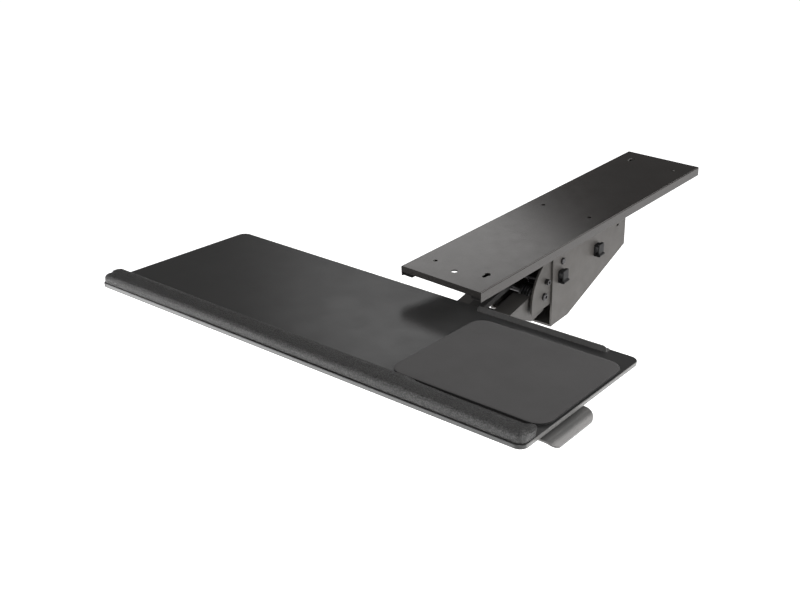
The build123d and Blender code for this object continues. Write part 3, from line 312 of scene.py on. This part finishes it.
def add_ramp(tree, value, dark, light, low=0.3, high=0.7):
    """Colour from dark to light as a value goes from low to high."""
    ramp = tree.nodes.new("ShaderNodeValToRGB")
    ramp.color_ramp.elements[0].position = low
    ramp.color_ramp.elements[1].position = high
    ramp.color_ramp.elements[0].color = (*dark, 1)
    ramp.color_ramp.elements[1].color = (*light, 1)
    tree.links.new(value, ramp.inputs["Fac"])
    return ramp.outputs["Color"]


def add_range(tree, value, low, high):
    """Spread a value between low and high."""
    spread = tree.nodes.new("ShaderNodeMapRange")
    spread.inputs["From Min"].default_value = 0.3
    spread.inputs["From Max"].default_value = 0.7
    spread.inputs["To Min"].default_value = low
    spread.inputs["To Max"].default_value = high
    tree.links.new(value, spread.inputs["Value"])
    return spread.outputs["Result"]


def add_bump(tree, shader, value, height, strength=0.5, before=None):
    """Raise the surface by height metres where the value is one."""
    bump = tree.nodes.new("ShaderNodeBump")
    bump.inputs["Strength"].default_value = strength
    bump.inputs["Distance"].default_value = height
    tree.links.new(value, bump.inputs["Height"])
    if before:
        tree.links.new(before, bump.inputs["Normal"])
    tree.links.new(bump.outputs["Normal"], shader.inputs["Normal"])
    return bump.outputs["Normal"]


def add_math(tree, operation, first, second):
    """Two values put together, each the output of a node or a plain number."""
    node = tree.nodes.new("ShaderNodeMath")
    node.operation = operation
    for socket, value in zip(node.inputs, (first, second)):
        if isinstance(value, (int, float)):
            socket.default_value = value
        else:
            tree.links.new(value, socket)
    return node.outputs["Value"]


def add_distance(tree, coordinates, direction):
    """How far a point lies along a direction, in metres from the origin."""
    along = tree.nodes.new("ShaderNodeVectorMath")
    along.operation = "DOT_PRODUCT"
    along.inputs[1].default_value = direction
    tree.links.new(coordinates, along.inputs[0])
    return along.outputs["Value"]


# The mix node has a pair of inputs for each kind of data. These are the colour ones.
MIX_FIRST, MIX_SECOND, MIX_RESULT = 6, 7, 2


def add_mix(tree, factor, first, second):
    """The first colour where the factor is zero, and the second where it is one."""
    mix = tree.nodes.new("ShaderNodeMix")
    mix.data_type = "RGBA"
    tree.links.new(factor, mix.inputs["Factor"])
    for index, colour in ((MIX_FIRST, first), (MIX_SECOND, second)):
        if isinstance(colour, tuple):
            mix.inputs[index].default_value = colour
        else:
            tree.links.new(colour, mix.inputs[index])
    return mix.outputs[MIX_RESULT]


print("finish helpers ready")

# %% [markdown]
# Powder coat is paint that was sprayed on as dust and baked. Close up it has the fine
# dimples of an orange skin, about a millimetre across, and a broad, slightly cloudy sheen.
# The track, the housing and the arm share this finish in slightly different greys, and the
# track's is the smoothest, so its top mirrors the lamps. The paddle's coat is painted far
# lighter: painted light, standing in for the light that its curved top catches.


# %% Powder coat
CLOUD, SHEEN_PATCH, DIMPLE, DUST = 0.045, 0.02, 0.0011, 0.0003
DIMPLE_HEIGHT, SMOOTH_DIMPLE_HEIGHT, DUST_HEIGHT = 0.000008, 0.000003, 0.000002
WARM_SHEEN = (1.0, 0.955, 0.93, 1)


def powder_coat(name, dark, light, roughness, height=DIMPLE_HEIGHT):
    """Sprayed and baked paint, from a dark to a light tone and from sleek to dull."""
    finish, tree, shader, coordinates = new_finish(name, roughness[0])
    clouds = add_noise(tree, coordinates, CLOUD, 3)
    tree.links.new(add_ramp(tree, clouds, dark, light), shader.inputs["Base Color"])
    patches = add_noise(tree, coordinates, SHEEN_PATCH, 2)
    tree.links.new(add_range(tree, patches, *roughness), shader.inputs["Roughness"])
    shader.inputs["Specular Tint"].default_value = WARM_SHEEN
    dimples = add_noise(tree, coordinates, DIMPLE, 2)
    first = add_bump(tree, shader, dimples, height, 0.6)
    dust = add_noise(tree, coordinates, DUST, 1)
    add_bump(tree, shader, dust, DUST_HEIGHT, 0.4, before=first)
    return finish


track_coat = powder_coat(
    "track_powder_coat",
    dark=(0.021, 0.019, 0.018),
    light=(0.025, 0.023, 0.022),
    roughness=(0.15, 0.18),
    height=SMOOTH_DIMPLE_HEIGHT,
)
housing_coat = powder_coat(
    "housing_powder_coat", (0.052, 0.049, 0.046), (0.060, 0.056, 0.052), (0.45, 0.55)
)
cheek_coat = powder_coat(
    "cheek_powder_coat", (0.045, 0.043, 0.040), (0.052, 0.049, 0.046), (0.45, 0.55)
)
arm_coat = powder_coat(
    "arm_powder_coat", (0.046, 0.044, 0.042), (0.054, 0.052, 0.049), (0.42, 0.52)
)
# Painted light: the paddle is black paint, given a light grey that stands in for the light on
# its curved top.
paddle_coat_painted_light = powder_coat(
    "paddle_powder_coat_painted_light", (0.11, 0.11, 0.108), (0.13, 0.128, 0.125), (0.22, 0.27)
)
inner_coat = powder_coat(
    "inner_powder_coat", (0.022, 0.022, 0.022), (0.028, 0.028, 0.028), (0.48, 0.58)
)
print("powder coats", track_coat.name, housing_coat.name, arm_coat.name)

# %% [markdown]
# The board is a thin phenolic panel: paper and resin pressed hard, with a satin black face.
# Its face shows a very fine leather-like texture. Its right sawn edge shows the paper's fibre
# and is painted lighter: a painted highlight for the light from the right that falls on it.

# %% Board panel
BOARD_HALF, LIT_EDGE_DEPTH = 337.2, 0.5
FIBRE, LEATHER_CELL, LEATHER_DUST = 0.004, 0.0009, 0.0004

board_panel, tree, shader, coordinates = new_finish("board_panel_face", 0.32, specular=0.6)
clouds = add_noise(tree, coordinates, 0.09, 3)
face_colour = add_ramp(tree, clouds, (0.024, 0.024, 0.024), (0.028, 0.028, 0.028))
patches = add_noise(tree, coordinates, 0.03, 3)
tree.links.new(add_range(tree, patches, 0.28, 0.32), shader.inputs["Roughness"])
turned = math.radians(SWIVEL_TURN)
rightward = Vector((math.cos(turned), math.sin(turned), 0))
# Painted highlight: a thin band at the right edge is painted lighter, standing in for the
# light from the right on that edge.
right_edge = (board_frame @ Vector((BOARD_HALF - LIT_EDGE_DEPTH, 0, 0))).dot(rightward)
across = add_distance(tree, coordinates, rightward)
on_lit_right_edge = add_math(tree, "GREATER_THAN", across, right_edge)
fibre = add_noise(tree, coordinates, FIBRE, 3)
painted_edge_light_colour = add_ramp(tree, fibre, (0.10, 0.10, 0.097), (0.15, 0.148, 0.144))
face_and_painted_edge_light = add_mix(tree, on_lit_right_edge, face_colour, painted_edge_light_colour)
tree.links.new(face_and_painted_edge_light, shader.inputs["Base Color"])
grain = add_bump(tree, shader, add_cells(tree, coordinates, LEATHER_CELL), 0.00002, 0.5)
leather_dust = add_noise(tree, coordinates, LEATHER_DUST, 2)
add_bump(tree, shader, leather_dust, 0.00001, 0.4, before=grain)
print("board", board_panel.name)

# %% [markdown]
# The skin of the wrist rest is embossed with small pebbles. Voronoi cells give them their
# outlines: the distance to the cell's edge is low in the grooves and high on each pebble.
# A noise as fine as the pebbles speckles the colour with lighter spots. These are painted
# glints: they stand in for light catching on the pebbles.

# %% Pebbled skin
PEBBLE, GLINT_SPECK, PORE = 0.0017, 0.0016, 0.0005
PEBBLE_HEIGHT, PORE_HEIGHT = 0.00030, 0.00003

rest_skin, tree, shader, coordinates = new_finish("rest_pebbled_skin", 0.4, specular=0.5)
# Painted highlight: the lighter specks are glints of light on the pebbles, painted into the
# colour.
painted_glints = add_noise(tree, coordinates, GLINT_SPECK, 2)
glint_speckled_colour = add_ramp(tree, painted_glints, (0.016, 0.016, 0.016), (0.070, 0.069, 0.068), 0.42, 0.64)
tree.links.new(glint_speckled_colour, shader.inputs["Base Color"])
patches = add_noise(tree, coordinates, 0.025, 3)
tree.links.new(add_range(tree, patches, 0.36, 0.44), shader.inputs["Roughness"])
grooves = add_cells(tree, coordinates, PEBBLE, "DISTANCE_TO_EDGE")
pebbles = add_ramp(tree, grooves, (0, 0, 0), (1, 1, 1), 0.0, 0.26)
raised = add_bump(tree, shader, pebbles, PEBBLE_HEIGHT, 0.9)
pores = add_noise(tree, coordinates, PORE, 2)
add_bump(tree, shader, pores, PORE_HEIGHT, 0.4, before=raised)
print("rest", rest_skin.name)

# %% [markdown]
# The pad's cloth face is a tight knit. Two sets of fine waves, one across and one along
# the pad, cross to make its threads, and a soft sheen lifts it where the light grazes.
# The edge of the foam is a deeper black: the rubber is black, and it is painted darker still
# as painted shade along the pad's edge, where the rounded rim would catch light. One material
# serves both: it asks how high a point lies over the board, and turns to the cloth's grey near
# the top.

# %% Knit cloth of the pad
KNIT_WAVES, THREAD_HEIGHT = 300, 0.00008
FACE_BELOW = 0.3
# Black rubber of the foam, with painted shade: deeper black than the rubber alone, so the
# pad's edge reads as a dark shade line.
FOAM_BLACK_AND_EDGE_SHADE = (0.006, 0.006, 0.006, 1)

pad_cloth, tree, shader, coordinates = new_finish("pad_knit_cloth", 0.85, specular=0.25)
shader.inputs["Sheen Weight"].default_value = 0.12
shader.inputs["Sheen Roughness"].default_value = 0.5
turn = tree.nodes.new("ShaderNodeMapping")
turn.inputs["Rotation"].default_value = (0, 0, math.radians(-SWIVEL_TURN))
tree.links.new(coordinates, turn.inputs["Vector"])
threads = []
for direction in ("X", "Y"):
    wave = tree.nodes.new("ShaderNodeTexWave")
    wave.bands_direction = direction
    wave.inputs["Scale"].default_value = KNIT_WAVES
    wave.inputs["Distortion"].default_value = 0.6
    wave.inputs["Detail Scale"].default_value = 2
    tree.links.new(turn.outputs["Vector"], wave.inputs["Vector"])
    threads.append(wave.outputs["Fac"])
knit = add_math(tree, "MULTIPLY", *threads)
upward = (board_frame.to_3x3() @ Vector((0, 0, 1))).normalized()
face_level = (board_frame @ Vector((0, 0, PAD_THICKNESS - FACE_BELOW))).dot(upward)
height = add_distance(tree, coordinates, upward)
on_top = add_math(tree, "GREATER_THAN", height, face_level)
wear = add_noise(tree, coordinates, 0.05, 4)
cloth_colour = add_ramp(tree, wear, (0.050, 0.048, 0.048), (0.058, 0.056, 0.056))
faced = add_mix(tree, on_top, FOAM_BLACK_AND_EDGE_SHADE, cloth_colour)
tree.links.new(faced, shader.inputs["Base Color"])
add_bump(tree, shader, knit, THREAD_HEIGHT, 0.5)
print("pad", pad_cloth.name)

# %% [markdown]
# Small parts: black nylon for the glides, bushes and sleeves, black zinc plate for pins and
# washers, black oxide for the bolts, oiled spring wire made darker still as painted shade,
# moulded plastic, black for the clips and grey for the guard, where the grey is painted
# light, and rubber for the stops. Each has a fine pattern of its own.


# %% Small parts
def moulded(name, dark, light, roughness, grain=0.0006, height=0.00001, specular=0.5):
    """Moulded plastic or rubber with a fine grain."""
    finish, tree, shader, coordinates = new_finish(name, roughness, specular=specular)
    clouds = add_noise(tree, coordinates, 0.012, 3)
    tree.links.new(add_ramp(tree, clouds, dark, light), shader.inputs["Base Color"])
    add_bump(tree, shader, add_noise(tree, coordinates, grain, 2), height, 0.5)
    return finish


def plated(name, dark, light, roughness, streak=(1, 1, 1)):
    """Bare or plated metal, with streaks that run along the part."""
    finish, tree, shader, coordinates = new_finish(name, roughness, metallic=1.0)
    streaks = add_noise(tree, coordinates, 0.002, 4, streak)
    tree.links.new(add_ramp(tree, streaks, dark, light), shader.inputs["Base Color"])
    duller = add_range(tree, streaks, roughness - 0.06, roughness + 0.08)
    tree.links.new(duller, shader.inputs["Roughness"])
    scratches = add_noise(tree, coordinates, 0.0005, 2, streak)
    add_bump(tree, shader, scratches, 0.000006, 0.4)
    return finish


nylon = moulded("black_nylon", (0.020, 0.020, 0.020), (0.030, 0.030, 0.030), 0.45)
clip_plastic = moulded(
    "clip_plastic", (0.009, 0.009, 0.010), (0.014, 0.014, 0.014), 0.5, specular=0.2
)
# Painted light: the guard's grey stands in for the light that falls on its front face.
guard_plastic_painted_light = moulded("guard_plastic_painted_light", (0.095, 0.094, 0.093), (0.110, 0.109, 0.107), 0.36)
sleeve_plastic = moulded("conduit_plastic", (0.018, 0.018, 0.018), (0.026, 0.026, 0.026), 0.5)
stop_rubber = moulded(
    "stop_rubber",
    dark=(0.012, 0.012, 0.012),
    light=(0.018, 0.018, 0.018),
    roughness=0.8,
    grain=0.001,
    height=0.00003,
    specular=0.3,
)
zinc = plated("black_zinc_plate", (0.10, 0.10, 0.105), (0.16, 0.16, 0.165), 0.36, (1, 4, 4))
black_oxide = plated("black_oxide", (0.045, 0.044, 0.046), (0.075, 0.073, 0.074), 0.38)
# Painted shade: the springs are dark oiled steel, and their colour is made darker still to
# stand in for the shade inside the housing.
springs_dark_and_shaded = plated("oiled_springs_painted_shade", (0.05, 0.05, 0.052), (0.09, 0.09, 0.092), 0.34)
print("small parts", nylon.name, zinc.name, springs_dark_and_shaded.name)

# %% [markdown]
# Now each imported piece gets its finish. A table by the record's material slot keeps every
# piece of one kind alike, so a new bolt would take the bolts' finish by itself.

# %% Hand out the finishes
finish_of_slot = {
    "track": track_coat,
    "rail": inner_coat,
    "stop": stop_rubber,
    "carriage": inner_coat,
    "nylon": nylon,
    "zinc": zinc,
    "housing": housing_coat,
    "cheek": cheek_coat,
    "bolt": black_oxide,
    "clip": clip_plastic,
    "arm": arm_coat,
    "spring": springs_dark_and_shaded,
    "link": inner_coat,
    "board": board_panel,
    "rest": rest_skin,
    "pad": pad_cloth,
    "guard": guard_plastic_painted_light,
    "conduit": sleeve_plastic,
    "paddle": paddle_coat_painted_light,
}
for subpart in frame["record"]["subparts"]:
    materials = nodes[subpart["node"]].data.materials
    materials.clear()
    materials.append(finish_of_slot[subpart["material_slot"]])
for piece, slot in ((wrist_rest, "rest"), (mouse_pad, "pad")):
    piece.data.materials.append(finish_of_slot[slot])

# %% [markdown]
# The studio: a pale floor at the height of a room's floor under a desk, far enough down
# that only the softest shadow reaches it. The floor shows white to the camera and still
# takes the shadow, because only part of its light is its own. The world is white where
# the camera sees it, and a dark grey where the object mirrors it, as in a studio whose
# ceiling is black: so the tops stay dark and only the soft boxes lay a sheen on them.

# %% Floor
FLOOR_Z, FLOOR_SIZE = -0.74, 24
PAPER_GREY, FLOOR_GLOW = 0.86, 0.92

start_clean()
bpy.ops.mesh.primitive_plane_add(size=FLOOR_SIZE, location=(0, 0, FLOOR_Z))
floor = name_new_piece("studio_floor")
pale = bpy.data.materials.new("pale_floor")
pale.use_nodes = True
tree = pale.node_tree
tree.nodes.clear()
paper = tree.nodes.new("ShaderNodeBsdfDiffuse")
paper.inputs["Color"].default_value = (PAPER_GREY, PAPER_GREY, PAPER_GREY, 1)
glow = tree.nodes.new("ShaderNodeEmission")
both = tree.nodes.new("ShaderNodeAddShader")
surface = tree.nodes.new("ShaderNodeOutputMaterial")
rays = tree.nodes.new("ShaderNodeLightPath").outputs
seen = add_math(tree, "MAXIMUM", rays["Is Camera Ray"], rays["Is Glossy Ray"])
shown = add_math(tree, "MAXIMUM", seen, rays["Is Transmission Ray"])
tree.links.new(add_math(tree, "MULTIPLY", shown, FLOOR_GLOW), glow.inputs["Strength"])
tree.links.new(paper.outputs["BSDF"], both.inputs[0])
tree.links.new(glow.outputs["Emission"], both.inputs[1])
tree.links.new(both.outputs["Shader"], surface.inputs["Surface"])
floor.data.materials.append(pale)
print("floor at", FLOOR_Z)

# %% World
world = bpy.data.worlds.new("studio_world")
bpy.context.scene.world = world
world.use_nodes = True
tree = world.node_tree
tree.nodes.clear()
around = tree.nodes.new("ShaderNodeBackground")
around.inputs["Color"].default_value = (0.10, 0.098, 0.096, 1)
white = tree.nodes.new("ShaderNodeBackground")
white.inputs["Color"].default_value = (1, 1, 1, 1)
choose = tree.nodes.new("ShaderNodeMixShader")
sky = tree.nodes.new("ShaderNodeOutputWorld")
rays = tree.nodes.new("ShaderNodeLightPath").outputs
seen = add_math(tree, "MAXIMUM", rays["Is Camera Ray"], rays["Is Transmission Ray"])
tree.links.new(seen, choose.inputs["Fac"])
tree.links.new(around.outputs["Background"], choose.inputs[1])
tree.links.new(white.outputs["Background"], choose.inputs[2])
tree.links.new(choose.outputs["Shader"], sky.inputs["Surface"])
print("world", world.name)

# %% [markdown]
# Light: six soft boxes. One hangs level far behind on the left, where the track's smooth
# top mirrors it, and lays the sheen on the front of the track. One behind on the right and
# one low in front pick out the edges, one on the left fills the shadows, one on the right
# lights the housing's side and the board's right edge, and one by the camera fills all the
# rest. Area lamps are aimed by turning their back to the line of sight.


# %% Soft boxes
def soft_box(name, place, target, size, watts, turn=0):
    """A lamp of two sides at place that faces target, turned about its own middle."""
    lamp = bpy.data.lights.new(name, "AREA")
    lamp.shape = "RECTANGLE"
    lamp.size, lamp.size_y = size
    lamp.energy = watts
    holder = bpy.data.objects.new(name, lamp)
    bpy.context.scene.collection.objects.link(holder)
    holder.location = place
    away = Vector(place) - Vector(target)
    holder.rotation_euler = away.to_track_quat("Z", "Y").to_euler()
    holder.rotation_euler.rotate_axis("Z", math.radians(turn))
    return holder


soft_box("box_behind", (-2.309, 2.736, 1.5), (-2.309, 2.736, 0.0), (1.6, 1.075), 8.2, turn=-27)
soft_box("box_rim", (0.7, 1.8, 1.5), (0.1, 0.1, 0.0), (1.4, 1.2), 20)
soft_box("box_low", (-0.9, -1.35, -0.62), (-0.1, -0.26, -0.1), (1.5, 1.2), 24)
soft_box("box_left", (-2.1, -1.5, 1.1), (-0.1, -0.2, -0.1), (1.4, 1.2), 34)
soft_box("box_right", (2.2, 0.3, 0.35), (0.1, 0.1, -0.1), (1.4, 1.0), 42)
soft_box("box_front", (1.5, -1.7, 2.1), (0.0, 0.0, -0.05), (1.8, 1.4), 30)

# %% [markdown]
# The camera stands to the right, in front and above, where the photographer stood. Its
# axes were worked out from the object's straight edges, and its picture is shifted a
# little to the left, because the object sits left of the lens's axis.

# %% Camera
CAMERA_PLACE = (0.8013, -0.9502, 0.5958)
CAMERA_RIGHT = (0.79108, 0.61171, -0.00156)
CAMERA_UP = (-0.27447, 0.35722, 0.89278)
CAMERA_BACK = (0.54668, -0.70583, 0.45049)
LENS_IN_PIXELS, PICTURE_WIDTH, SENSOR_WIDTH = 1064.3, 800, 36
camera_data = bpy.data.cameras.new("camera")
camera_data.sensor_width = SENSOR_WIDTH
camera_data.lens = LENS_IN_PIXELS * SENSOR_WIDTH / PICTURE_WIDTH
camera_data.shift_x = -0.1
camera_data.clip_end = 60
camera = bpy.data.objects.new("camera", camera_data)
bpy.context.scene.collection.objects.link(camera)
axes = Matrix((CAMERA_RIGHT, CAMERA_UP, CAMERA_BACK)).transposed().to_4x4()
camera.matrix_world = Matrix.Translation(CAMERA_PLACE) @ axes
bpy.context.scene.camera = camera
bpy.context.scene.view_settings.view_transform = "Standard"
print("lens", round(camera_data.lens, 2))
